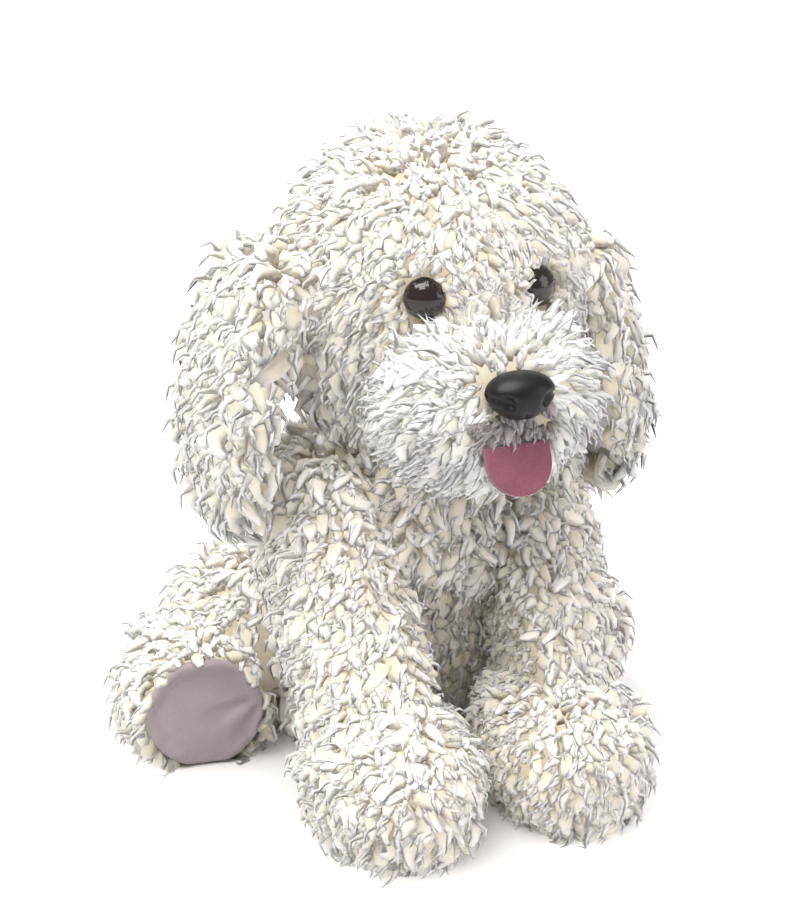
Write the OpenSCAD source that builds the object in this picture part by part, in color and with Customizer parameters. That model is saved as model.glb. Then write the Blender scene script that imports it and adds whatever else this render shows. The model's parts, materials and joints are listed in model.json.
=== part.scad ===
// Sitting plush dog: sewn skins over stuffing, with hinged head, ears, tongue, legs and tail.
// Millimetres, +Z up, the dog faces -Y and its own right side is -X.
// The origin is on the floor, under the flat seat.

/* [Skin] */
// Thickness of the sewn plush, backing and packed pile together
skin_t = 2.4; // [1.6:0.1:3]
// Clearance between pieces that move on each other
gap = 0.5; // [0.4:0.1:0.8]

/* [Torso] */
// Radius of the torso at its middle
torso_r = 53; // [50:1:55]
// Half of the full egg's length, part of which is cut off by the floor
torso_half = 88; // [84:1:92]
// How much the radius shrinks towards the neck and grows towards the seat
torso_taper = 8; // [4:1:10]
// Forward lean of the torso
torso_tilt = 15; // [12:1:18]
// Radius of the chest
chest_r = 45; // [43:1:47]
// Half width of the belly panel
belly_half = 18; // [14:1:19]

/* [Neck] */
// Radius of the stuffed neck dome that the head sits on
neck_r = 32; // [30:1:34]
// Height of the neck dome's centre
neck_z = 148; // [146:1:150]
// How far the neck dome's centre lies in front of the origin
neck_front = 14; // [12:1:16]
// Radius of the thread in the neck seam
neck_thread_r = 0.9; // [0.6:0.1:1]

/* [Head] */
// Radius of the head
head_r = 52; // [50:1:54]
// How far the head's centre is above the neck's
head_rise = 53; // [52:1:55]
// How far the head's centre is in front of the neck's
head_lead = 18; // [16:1:20]
// Half width of the gusset that runs over the head
gusset_half = 17; // [14:1:20]
// Half width of the muzzle
muzzle_half = 36; // [33:1:38]
// Radius of the muzzle
muzzle_r = 27; // [25:1:27]

/* [Face] */
// Radius of a moulded eye
eye_r = 7.6; // [6:0.1:8.5]
// Half of the distance between the eyes
eye_half = 22; // [20:1:24]
// Radius of the moulded nose, seen from the side
nose_r = 9.5; // [8:0.5:10.5]
// Half width of the moulded nose
nose_half = 13; // [11:0.5:14.5]
// Radius of the tongue's round end
tongue_r = 12.5; // [10:0.5:13.5]
// Thickness of the felt tongue
tongue_t = 2.6; // [2:0.2:3]

/* [Ears] */
// Length of an ear from its seam to its lower end
ear_len = 94; // [90:1:98]
// Half width of an ear near its lower end
ear_half = 30; // [27:1:31]
// Half width of an ear at its seam
ear_root_half = 22; // [18:1:24]
// Thickness of the plush side of an ear
ear_cover_t = 7; // [6:1:9]
// Thickness of the velour lining of an ear
ear_lining_t = 3; // [2:0.5:3.5]
// How far the dog's right ear stands away from hanging straight down
right_ear_flare = 11; // [9:1:14]
// How far the dog's left ear stands away from hanging straight down
left_ear_flare = 9; // [9:1:12]
// Radius of the dog's right ear's bulge: a smaller one bulges more
right_ear_bulge = 100; // [70:10:300]
// Radius of the dog's left ear's bulge
left_ear_bulge = 300; // [70:10:300]

/* [Front legs] */
// Half of the distance between the shoulders
shoulder_x = 39; // [38:1:41]
// Height of the shoulders
shoulder_z = 112; // [110:1:114]
// Radius of a shoulder
shoulder_r = 25; // [24:0.5:26]
// Radius of a leg along its length
leg_r = 24; // [22:0.5:24.5]
// Half of the distance between the front paws
paw_x = 33; // [32:1:36]
// Radius of a front paw, seen from the front
paw_r = 29; // [27:0.5:30]
// Half length of a front paw
paw_half = 37; // [34:1:39]
// How far all four feet are set towards the dog's left
feet_shift = -3.5; // [-5:0.5:0]
// How far a front leg can be lifted
leg_lift = 45; // [0:5:45]

/* [Hind legs] */
// Radius of a thigh
thigh_r = 33; // [31:1:34]
// Half of the distance between the thighs
thigh_x = 50; // [48:1:52]
// Half of the distance between the hind feet
foot_x = 80; // [78:1:83]
// Radius of a hind foot
foot_r = 27; // [26:1:29]
// How far a hind foot's sole is turned outwards
foot_splay = 8; // [0:1:10]

/* [Tail] */
// Half length of the tail
tail_half = 24; // [20:1:28]
// Radius of the tail
tail_r = 12; // [10:1:13]

/* [Hidden] */

$fn = 64;
right = -1;
left = 1;
far = 300;
profile_step = 10;
fullness = 0.7;
bar_turn = 35;
pad = skin_t + 0.4;

neck_c = [0, -neck_front, neck_z];
head_c = neck_c + [0, -head_lead, head_rise];
neck_tilt = atan(head_lead / head_rise);
neck_to_head = norm(head_c - neck_c);
chest_c = [0, -13, 106];

muzzle_c = head_c + [0, -50, -32];
mouth_z = muzzle_c[2] - 10;
nose_c = muzzle_c + [0, -30, 11];
nostril_r = 2.2;
nostril_half = 4.6;
nostril_drop = 2.6;
nostril_depth = 0.4;
shank_r = 2.4;
shank_len = 13;
shank_clear = 0.1;
filling_clear = 0.3;
washer_t = 1.4;
washer_in = 2.6;
washer_bore = 0.05;
nose_washer_in = 10;
eye_rise = 7;
eye_rim = 1;
eye_dome = 5;
eye_dir = [eye_half, -sqrt(head_r * head_r - eye_half * eye_half - eye_rise * eye_rise), eye_rise] / head_r;
stitch_r = 0.7;
stitch_from = 267;
stitch_angle = 11;
tongue_straight = 6;
tongue_tilt = 24;
tongue_root = [0, muzzle_c[1] - muzzle_r + 0.6, mouth_z + 0.5];

ear_in_r = head_r + 2;
ear_c = [0, head_c[1] + 6, head_c[2] + 10];

shoulder_plane = 20;
shoulder_c = [shoulder_x, -22, shoulder_z];
paw_y = -86;
paw_z = 24;
ankle_y = paw_y + 4;
ankle_z = 30;
sole_t = 2.4;

hip_plane = 36;
thigh_c = [thigh_x, 28, 41];
foot_y = 14;
foot_z = 23;
foot_half = 34;
foot_front = -6;
thigh_seam_z = 38;

tail_root_r = 10;
tail_c = [0, 72, 36];
tail_rise = 35;
pouch_c = [0, 26, 20];
pouch_half = 13;
pouch_r = 29;
pouch_t = 1.2;
pellet_gap = 0.2;
label_turn = 20;
label_w = 16;
label_len = 18;
label_t = 0.8;
label_in = 64.2;
label_z = 8;
closing_count = 9;
closing_pitch = 7;
closing_from = -13;
closing_len = 5;

// ---- shared shapes ----

// Egg on the Z axis: fatter towards its lower end when taper is above 0
module egg(half, r, taper = 0) {
    rotate_extrude()
        polygon([for (a = [-90:profile_step:90])
            [(r - taper * sin(a)) * pow(cos(a), fullness), half * sin(a)]]);
}

// Cone between two points, turned so that its seam line stays clear of the middle planes
module bar(from, to, r_from, r_to) {
    d = to - from;
    translate(from)
        rotate([0, acos(d[2] / norm(d)), atan2(d[1], d[0])])
            rotate([0, 0, bar_turn]) cylinder(h = norm(d), r1 = r_from, r2 = r_to);
}

// Everything above a height
module above(z) {
    translate([-far, -far, z]) cube([2 * far, 2 * far, 2 * far]);
}

// Everything further than a distance from the middle plane, on the left
module beyond(x) {
    translate([x, -far, -far]) cube([2 * far, 2 * far, 2 * far]);
}

// Slab on both sides of the middle plane
module middle(half) {
    translate([-half, -far, -far]) cube([2 * half, 2 * far, 2 * far]);
}

// Left-hand shapes are drawn as they are, right-hand ones as their mirror image
module sided(side) {
    mirror([side < 0 ? 1 : 0, 0, 0]) children();
}

// ---- torso ----

// Space that a lifting front leg needs, in the plane that it swings in
module leg_sweep(grow) {
    w = leg_r + gap + grow;
    reach = 160;
    swing = atan((shoulder_c[1] - ankle_y) / (shoulder_z - ankle_z));
    translate([shoulder_c[1], shoulder_z]) {
        circle(r = shoulder_r + gap + grow);
        rotate([0, 0, -swing])
            polygon([[w, 0], [w, -reach], [-reach, -reach],
                [-w * cos(leg_lift) - reach * sin(leg_lift), w * sin(leg_lift) - reach * cos(leg_lift)],
                [-w * cos(leg_lift), w * sin(leg_lift)]]);
    }
}

// Hollows for the shoulders, the thighs and the root of the tail
module torso_hollows(grow) {
    for (side = [right, left]) sided(side) {
        translate([shoulder_plane - grow, 0, 0])
            rotate([90, 0, 90])
                linear_extrude(height = far) leg_sweep(grow);
        translate([hip_plane - grow, thigh_c[1], thigh_c[2]])
            rotate([0, 90, 0]) cylinder(h = far, r = thigh_r + gap + grow);
    }
    translate(tail_c) sphere(r = tail_root_r + gap + grow);
}

// The torso's outer form, drawn smaller by inset for what lies inside it
module torso_form(inset) {
    difference() {
        intersection() {
            union() {
                translate(neck_c)
                    rotate([torso_tilt, 0, 0])
                        translate([0, 0, -torso_half])
                            egg(torso_half - inset, torso_r - inset, torso_taper);
                translate(chest_c) sphere(r = chest_r - inset);
                translate(neck_c) sphere(r = neck_r - inset);
            }
            above(inset);
        }
        torso_hollows(inset);
    }
}

module torso_skin() {
    difference() {
        torso_form(0);
        torso_form(skin_t);
    }
}

module belly_region() {
    translate([-belly_half, -far, skin_t]) cube([2 * belly_half, far, far]);
}

module torso_side(side) {
    color("ivory") difference() {
        intersection() {
            torso_skin();
            above(skin_t);
            sided(side) beyond(0);
        }
        belly_region();
    }
}

module torso_left_panel() { torso_side(left); }

module torso_right_panel() { torso_side(right); }

module belly_panel() {
    color("floralwhite") intersection() {
        torso_skin();
        belly_region();
    }
}

module seat_panel() {
    color("linen") difference() {
        torso_form(0);
        above(skin_t);
    }
}

module torso_stuffing() {
    color("white") difference() {
        torso_form(pad);
        translate(pouch_c) egg(pouch_half + gap, pouch_r + gap);
    }
}

module bean_pouch() {
    color("lightgrey") translate(pouch_c) difference() {
        egg(pouch_half, pouch_r);
        egg(pouch_half - pouch_t, pouch_r - pouch_t);
    }
}

module bean_pellets() {
    color("gainsboro") translate(pouch_c)
        egg(pouch_half - pouch_t - pellet_gap, pouch_r - pouch_t - pellet_gap);
}

// Ladder stitches across the seam that closes the back
module closing_stitches() {
    color("antiquewhite")
        translate(neck_c)
            rotate([torso_tilt, 0, 0])
                translate([0, 0, -torso_half])
                    for (i = [0:closing_count - 1]) {
                        z = closing_from + i * closing_pitch;
                        r = (torso_r - torso_taper * z / torso_half)
                            * pow(cos(asin(z / torso_half)), fullness);
                        translate([0, r, z])
                            rotate([0, 90, 0]) cylinder(h = closing_len, r = stitch_r, center = true);
                    }
}

// Blank folded ribbon caught in the seat seam
module sewn_label() {
    color("white")
        rotate([0, 0, label_turn])
            translate([-label_w / 2, label_in, label_z]) cube([label_w, label_len, label_t]);
}

// ---- neck ----

// Thread ring just under the head's lip, round the axis that the head turns on
module neck_seam() {
    ring_r = neck_r + gap + neck_thread_r;
    lip_r = head_r + gap + neck_thread_r;
    rise = (neck_to_head * neck_to_head + ring_r * ring_r - lip_r * lip_r) / (2 * neck_to_head);
    color("antiquewhite")
        translate(neck_c)
            rotate([neck_tilt, 0, 0])
                translate([0, 0, rise])
                    rotate_extrude()
                        translate([sqrt(ring_r * ring_r - rise * rise), 0]) circle(r = neck_thread_r);
}

// ---- head ----

module muzzle_form(inset) {
    translate(muzzle_c) rotate([0, 90, 0]) egg(muzzle_half - inset, muzzle_r - inset);
}

module neck_hollow(grow) {
    translate(neck_c) sphere(r = neck_r + gap + grow);
}

// Holes that the shanks of the eyes pass through
module eye_holes(clear) {
    for (side = [right, left])
        sided(side) bar(head_c + eye_dir * (head_r - shank_len - clear), head_c + eye_dir * (head_r + 1),
            shank_r + clear, shank_r + clear);
}

// Hole that the shank of the nose passes through
module nose_hole(clear) {
    bar(nose_c, nose_c + [0, shank_len + nose_r + clear, 0], shank_r + clear, shank_r + clear);
}

module head_skin() {
    difference() {
        translate(head_c) sphere(r = head_r);
        translate(head_c) sphere(r = head_r - skin_t);
        muzzle_form(skin_t);
        neck_hollow(0);
        eye_holes(shank_clear);
    }
}

module head_side(side) {
    color("ivory") intersection() {
        head_skin();
        sided(side) beyond(gusset_half);
    }
}

module head_left_panel() { head_side(left); }

module head_right_panel() { head_side(right); }

// The strip between the muzzle and the neck seam
module throat_region() {
    translate([-gusset_half, -far, -far])
        cube([2 * gusset_half, far + head_c[1], far + muzzle_c[2]]);
}

module head_gusset() {
    color("floralwhite") difference() {
        intersection() {
            head_skin();
            middle(gusset_half);
        }
        throat_region();
    }
}

module throat_panel() {
    color("linen") intersection() {
        head_skin();
        throat_region();
    }
}

module muzzle_skin() {
    difference() {
        muzzle_form(0);
        muzzle_form(skin_t);
        translate(head_c) sphere(r = head_r);
        nose_hole(shank_clear);
    }
}

module muzzle_panel() {
    color("white") intersection() {
        muzzle_skin();
        above(mouth_z);
    }
}

module chin_panel() {
    color("whitesmoke") difference() {
        muzzle_skin();
        above(mouth_z);
    }
}

// Stuffing, with room for the washers that hold the eyes and the nose
module head_stuffing() {
    color("white") difference() {
        union() {
            translate(head_c) sphere(r = head_r - pad);
            muzzle_form(pad);
        }
        neck_hollow(skin_t);
        eye_holes(filling_clear);
        nose_hole(filling_clear);
        for (side = [right, left]) sided(side) eye_washer(filling_clear);
        nose_disc(filling_clear);
    }
}

// One moulding: a dome on a thin rim, with a shank behind it
module eye(side) {
    color("saddlebrown") sided(side)
        translate(head_c + eye_dir * head_r)
            rotate([0, acos(eye_dir[2]), atan2(eye_dir[1], eye_dir[0])])
                rotate_extrude()
                    polygon(concat([[0, -shank_len], [shank_r, -shank_len], [shank_r, 0]],
                        [for (a = [0:profile_step:90]) [eye_r * cos(a), eye_rim + eye_dome * sin(a)]]));
}

module right_eye() { eye(right); }

module left_eye() { eye(left); }

// Toothed washer behind the skin, drawn as a plain disc
module eye_washer(grow) {
    back = head_c + eye_dir * (head_r - skin_t - washer_in - washer_t - grow);
    difference() {
        bar(back, back + eye_dir * (washer_t + 2 * grow), eye_r + grow, eye_r + grow);
        if (grow == 0)
            bar(back - eye_dir, back + eye_dir * 4, shank_r + washer_bore, shank_r + washer_bore);
    }
}

module right_eye_washer() { color("whitesmoke") sided(right) eye_washer(0); }

module left_eye_washer() { color("whitesmoke") eye_washer(0); }

module nose() {
    color("black") {
        difference() {
            translate(nose_c) rotate([0, 90, 0]) egg(nose_half, nose_r);
            muzzle_form(0);
            for (side = [right, left])
                translate(nose_c + [side * nostril_half, nostril_depth - nose_r, -nostril_drop])
                    sphere(r = nostril_r);
        }
        bar(nose_c, nose_c + [0, shank_len + nose_r, 0], shank_r, shank_r);
    }
}

module nose_disc(grow) {
    back = nose_c + [0, nose_washer_in + nose_r - grow, 0];
    difference() {
        bar(back, back + [0, washer_t + 2 * grow, 0], nose_r - 1 + grow, nose_r - 1 + grow);
        if (grow == 0)
            bar(back - [0, 1, 0], back + [0, 4, 0], shank_r + washer_bore, shank_r + washer_bore);
    }
}

module nose_washer() { color("whitesmoke") nose_disc(0); }

// Short thread from the nose down to the mouth
module mouth_stitch() {
    color("black")
        translate(muzzle_c)
            rotate([0, 90, 0])
                rotate([0, 0, stitch_from])
                    rotate_extrude(angle = stitch_angle)
                        translate([muzzle_r + stitch_r + 0.1, 0]) circle(r = stitch_r);
}

// Half-round felt, sewn in at its upper edge
module tongue() {
    color("palevioletred")
        translate(tongue_root)
            rotate([-tongue_tilt, 0, 0])
                translate([0, tongue_t / 2 - 1, -tongue_straight])
                    rotate([90, 0, 0])
                        linear_extrude(height = tongue_t) {
                            difference() {
                                circle(r = tongue_r);
                                translate([-far, 0]) square([2 * far, far]);
                            }
                            translate([-tongue_r, -0.01]) square([2 * tongue_r, tongue_straight]);
                        }
}

// ---- ears ----

// One layer of an ear: a rounded flap that hangs from its seam and bulges outwards halfway down
module ear_layer(side, flare, bulge, from, to) {
    half_len = ear_len / 2;
    sided(side)
        translate([ear_in_r, ear_c[1], ear_c[2]])
            rotate([0, -flare, 0])
                intersection() {
                    translate([-sqrt(bulge * bulge - half_len * half_len), 0, -half_len]) difference() {
                        sphere(r = bulge + to);
                        sphere(r = bulge + from);
                    }
                    translate([-ear_in_r, 0, 0])
                        rotate([90, 0, 90])
                            linear_extrude(height = far)
                                polygon(concat([[-ear_root_half, 0], [ear_root_half, 0]],
                                    [for (a = [0:-15:-180])
                                        [ear_half * cos(a), ear_half - ear_len + ear_half * sin(a)]]));
                }
}

module ear_cover(side, flare, bulge) {
    color("ivory") ear_layer(side, flare, bulge, ear_lining_t, ear_lining_t + ear_cover_t);
}

module ear_lining(side, flare, bulge) {
    color("lavender") ear_layer(side, flare, bulge, 0, ear_lining_t);
}

module right_ear_cover() { ear_cover(right, right_ear_flare, right_ear_bulge); }

module right_ear_lining() { ear_lining(right, right_ear_flare, right_ear_bulge); }

module left_ear_cover() { ear_cover(left, left_ear_flare, left_ear_bulge); }

module left_ear_lining() { ear_lining(left, left_ear_flare, left_ear_bulge); }

// ---- front legs ----

// A front leg's form: shoulder, limb and paw, flat where it meets the floor
module front_form(side, inset) {
    x = paw_x + side * feet_shift;
    intersection() {
        union() {
            intersection() {
                union() {
                    translate(shoulder_c) sphere(r = shoulder_r - inset);
                    bar(shoulder_c, [x, ankle_y, ankle_z], leg_r - inset, leg_r - inset);
                }
                beyond(shoulder_plane + gap + inset);
            }
            translate([x, paw_y, paw_z]) rotate([90, 0, 0]) egg(paw_half - inset, paw_r - inset);
        }
        above(inset);
    }
}

module front_panel(side, outer) {
    color("ivory") sided(side) intersection() {
        difference() {
            front_form(side, 0);
            front_form(side, skin_t);
        }
        above(sole_t);
        translate([outer ? shoulder_x : shoulder_x - 2 * far, -far, -far]) cube(2 * far);
    }
}

module front_sole(side) {
    color("thistle") sided(side) difference() {
        front_form(side, 0);
        above(sole_t);
    }
}

module front_stuffing(side) {
    color("white") sided(side) front_form(side, pad);
}

module front_right_outer_panel() { front_panel(right, true); }

module front_right_inner_panel() { front_panel(right, false); }

module front_right_sole() { front_sole(right); }

module front_right_stuffing() { front_stuffing(right); }

module front_left_outer_panel() { front_panel(left, true); }

module front_left_inner_panel() { front_panel(left, false); }

module front_left_sole() { front_sole(left); }

module front_left_stuffing() { front_stuffing(left); }

// ---- hind legs ----

// Place of a hind foot, its sole turned forwards and a little outwards
module at_foot(side) {
    translate([foot_x + side * feet_shift, foot_y, foot_z])
        rotate([0, 0, foot_splay])
            children();
}

// Everything in front of the plane that lies behind the sole by a depth
module sole_side(side, depth) {
    at_foot(side)
        translate([-far, foot_front - foot_y + depth - 2 * far, -far]) cube(2 * far);
}

module hind_form(side, inset) {
    difference() {
        intersection() {
            union() {
                translate(thigh_c) rotate([90, 0, 0]) sphere(r = thigh_r - inset);
                bar(thigh_c, [foot_x + side * feet_shift, foot_y + 6, foot_z + 1],
                    thigh_r - 6 - inset, foot_r - 3 - inset);
                at_foot(side) rotate([90, 0, 0]) egg(foot_half - inset, foot_r - inset);
            }
            beyond(hip_plane + gap + inset);
            above(inset);
        }
        sole_side(side, inset);
    }
}

module hind_panel(side, upper) {
    color("ivory") sided(side) difference() {
        hind_form(side, 0);
        hind_form(side, skin_t);
        sole_side(side, sole_t);
        translate([-far, -far, upper ? thigh_seam_z - 2 * far : thigh_seam_z]) cube(2 * far);
    }
}

module hind_sole(side) {
    color("thistle") sided(side) intersection() {
        hind_form(side, 0);
        sole_side(side, sole_t);
    }
}

module hind_stuffing(side) {
    color("white") sided(side) hind_form(side, pad);
}

module hind_right_upper_panel() { hind_panel(right, true); }

module hind_right_lower_panel() { hind_panel(right, false); }

module hind_right_sole() { hind_sole(right); }

module hind_right_stuffing() { hind_stuffing(right); }

module hind_left_upper_panel() { hind_panel(left, true); }

module hind_left_lower_panel() { hind_panel(left, false); }

module hind_left_sole() { hind_sole(left); }

module hind_left_stuffing() { hind_stuffing(left); }

// ---- tail ----

module tail_form(inset) {
    translate(tail_c) {
        sphere(r = tail_root_r - inset);
        rotate([-90 + tail_rise, 0, 0])
            translate([0, 0, tail_half]) egg(tail_half - inset, tail_r - inset);
    }
}

module tail_cover() {
    color("ivory") difference() {
        tail_form(0);
        tail_form(skin_t);
    }
}

module tail_stuffing() { color("white") tail_form(pad); }

torso_left_panel();
torso_right_panel();
belly_panel();
seat_panel();
torso_stuffing();
bean_pouch();
bean_pellets();
closing_stitches();
sewn_label();
neck_seam();
head_left_panel();
head_right_panel();
head_gusset();
throat_panel();
muzzle_panel();
chin_panel();
head_stuffing();
right_eye();
left_eye();
right_eye_washer();
left_eye_washer();
nose();
nose_washer();
mouth_stitch();
tongue();
right_ear_cover();
right_ear_lining();
left_ear_cover();
left_ear_lining();
front_right_outer_panel();
front_right_inner_panel();
front_right_sole();
front_right_stuffing();
front_left_outer_panel();
front_left_inner_panel();
front_left_sole();
front_left_stuffing();
hind_right_upper_panel();
hind_right_lower_panel();
hind_right_sole();
hind_right_stuffing();
hind_left_upper_panel();
hind_left_lower_panel();
hind_left_sole();
hind_left_stuffing();
tail_cover();
tail_stuffing();
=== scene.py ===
import json
import math
import bmesh
import bpy
import numpy as np
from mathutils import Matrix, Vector

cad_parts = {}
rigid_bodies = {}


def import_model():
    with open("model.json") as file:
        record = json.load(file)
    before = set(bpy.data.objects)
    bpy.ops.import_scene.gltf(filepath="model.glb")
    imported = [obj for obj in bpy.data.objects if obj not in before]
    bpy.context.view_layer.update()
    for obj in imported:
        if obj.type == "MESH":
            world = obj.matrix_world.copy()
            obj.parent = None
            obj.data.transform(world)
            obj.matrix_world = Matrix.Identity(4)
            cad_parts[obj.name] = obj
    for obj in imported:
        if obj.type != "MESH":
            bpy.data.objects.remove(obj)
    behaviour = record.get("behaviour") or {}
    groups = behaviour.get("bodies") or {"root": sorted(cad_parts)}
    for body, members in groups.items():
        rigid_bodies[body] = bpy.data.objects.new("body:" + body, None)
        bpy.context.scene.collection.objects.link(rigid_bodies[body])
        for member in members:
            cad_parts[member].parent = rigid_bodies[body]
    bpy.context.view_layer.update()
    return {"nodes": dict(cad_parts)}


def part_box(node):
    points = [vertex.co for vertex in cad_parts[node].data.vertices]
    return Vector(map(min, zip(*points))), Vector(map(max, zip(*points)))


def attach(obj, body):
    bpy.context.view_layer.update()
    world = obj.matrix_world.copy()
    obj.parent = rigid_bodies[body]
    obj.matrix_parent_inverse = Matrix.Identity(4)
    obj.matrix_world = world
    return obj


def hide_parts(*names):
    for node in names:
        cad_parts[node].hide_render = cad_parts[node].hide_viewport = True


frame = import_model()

mm = 0.001
cadNodes = frame["nodes"]


def middle(node):
    low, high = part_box(node)
    return np.array((low + high) / 2)


# helpers for objects and meshes
def addObject(name, mesh):
    obj = bpy.data.objects.new(name, mesh)
    bpy.context.scene.collection.objects.link(obj)
    return obj


def finishPiece(obj, body, standsFor=()):
    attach(obj, body)
    if standsFor:
        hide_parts(*standsFor)
    return obj


def applyModifiers(obj):
    depsgraph = bpy.context.evaluated_depsgraph_get()
    mesh = bpy.data.meshes.new_from_object(obj.evaluated_get(depsgraph))
    obj.modifiers.clear()
    obj.data = mesh
    return obj


def points(mesh):
    co = np.zeros(len(mesh.vertices) * 3)
    mesh.vertices.foreach_get("co", co)
    return co.reshape(-1, 3)


def normals(mesh):
    n = np.zeros(len(mesh.vertices) * 3)
    mesh.vertex_normals.foreach_get("vector", n)
    return n.reshape(-1, 3)


def unit(v):
    return v / np.maximum(np.linalg.norm(v, axis=-1, keepdims=True), 1e-9)


def smoothShade(mesh):
    mesh.polygons.foreach_set("use_smooth", [True] * len(mesh.polygons))
    mesh.update()


def largestIsland(bm):
    seen, best = set(), set()
    for start in bm.verts:
        if start in seen:
            continue
        island, todo = {start}, [start]
        while todo:
            for edge in todo.pop().link_edges:
                for v in edge.verts:
                    if v not in island:
                        island.add(v)
                        todo.append(v)
        seen |= island
        if len(island) > len(best):
            best = island
    bmesh.ops.delete(bm, geom=[v for v in bm.verts if v not in best], context="VERTS")


# stuffed forms, from the sewn panels and the filling
formSettings = {
    "voxel": 2.0 * mm,
    "roundings": 8,     # smoothing passes over the sewn edges
}


def stuffedForm(name, nodeNames, voxel=formSettings["voxel"], roundings=formSettings["roundings"]):
    bm = bmesh.new()
    for node in nodeNames:
        bm.from_mesh(cadNodes[node].data)
    bmesh.ops.remove_doubles(bm, verts=bm.verts, dist=0.01 * mm)
    mesh = bpy.data.meshes.new(name)
    bm.to_mesh(mesh)
    bm.free()
    obj = addObject(name, mesh)
    remesh = obj.modifiers.new("voxels", "REMESH")
    remesh.mode = "VOXEL"
    remesh.voxel_size = voxel
    applyModifiers(obj)
    bm = bmesh.new()
    bm.from_mesh(obj.data)
    largestIsland(bm)
    for _ in range(roundings):
        bmesh.ops.smooth_vert(bm, verts=bm.verts, factor=0.5,
                              use_axis_x=True, use_axis_y=True, use_axis_z=True)
    bmesh.ops.recalc_face_normals(bm, faces=bm.faces)
    bm.to_mesh(obj.data)
    bm.free()
    smoothShade(obj.data)
    return obj


# node tree helpers
def wire(tree, a, b):
    tree.links.new(a, b)


def groupTree(kind, name, inputs, outputs):
    tree = bpy.data.node_groups.new(name, kind)
    for label, socketType, value in inputs:
        s = tree.interface.new_socket(label, in_out="INPUT", socket_type=socketType)
        if value is not None:
            s.default_value = value
    for label, socketType in outputs:
        tree.interface.new_socket(label, in_out="OUTPUT", socket_type=socketType)
    return tree, tree.nodes.new("NodeGroupInput"), tree.nodes.new("NodeGroupOutput")


def node(tree, kind, **props):
    n = tree.nodes.new(kind)
    for key, value in props.items():
        setattr(n, key, value)
    return n


def setInputs(n, **values):
    for key, value in values.items():
        n.inputs[key].default_value = value
    return n


def vectorMath(tree, operation, a, b=None, scale=None):
    n = node(tree, "ShaderNodeVectorMath", operation=operation)
    for i, v in enumerate((a, b)):
        if v is None:
            continue
        if hasattr(v, "is_output"):
            wire(tree, v, n.inputs[i])
        else:
            n.inputs[i].default_value = v
    if scale is not None:
        if hasattr(scale, "is_output"):
            wire(tree, scale, n.inputs["Scale"])
        else:
            n.inputs["Scale"].default_value = scale
    return n.outputs[0]


def floatMath(tree, operation, a, b=None):
    n = node(tree, "ShaderNodeMath", operation=operation)
    for i, v in enumerate((a, b)):
        if v is None:
            continue
        if hasattr(v, "is_output"):
            wire(tree, v, n.inputs[i])
        else:
            n.inputs[i].default_value = v
    return n.outputs[0]


def randomValue(tree, low, high, seedSocket=None, seedOffset=0, kind="FLOAT"):
    n = node(tree, "FunctionNodeRandomValue", data_type=kind)
    offset = {"FLOAT": 2, "FLOAT_VECTOR": 0, "INT": 4}[kind]
    n.inputs[offset].default_value = low
    n.inputs[offset + 1].default_value = high
    if seedSocket is not None:
        wire(tree, floatMath(tree, "ADD", seedSocket, float(seedOffset)), n.inputs["Seed"])
    return n.outputs[{"FLOAT": 1, "FLOAT_VECTOR": 0, "INT": 2}[kind]]


def namedAttribute(tree, name, kind):
    n = node(tree, "GeometryNodeInputNamedAttribute", data_type=kind)
    n.inputs["Name"].default_value = name
    return n.outputs["Attribute"]


# shader groups
def mixColour(tree, factor, a, b):
    n = node(tree, "ShaderNodeMix", data_type="RGBA")
    for socket, v in ((n.inputs[0], factor), (n.inputs[6], a), (n.inputs[7], b)):
        if hasattr(v, "is_output"):
            wire(tree, v, socket)
        else:
            socket.default_value = v
    return n.outputs[2]


def mapRange(tree, value, low, high, toLow=0.0, toHigh=1.0):
    n = node(tree, "ShaderNodeMapRange")
    wire(tree, value, n.inputs["Value"])
    setInputs(n, **{"From Min": low, "From Max": high, "To Min": toLow, "To Max": toHigh})
    return n.outputs["Result"]


def noise(tree, vector, scale, detail=2.0, roughness=0.5):
    n = node(tree, "ShaderNodeTexNoise")
    wire(tree, vector, n.inputs["Vector"])
    for key, value in (("Scale", scale), ("Detail", detail), ("Roughness", roughness)):
        if hasattr(value, "is_output"):
            wire(tree, value, n.inputs[key])
        else:
            n.inputs[key].default_value = value
    return n.outputs["Fac"]


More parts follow.
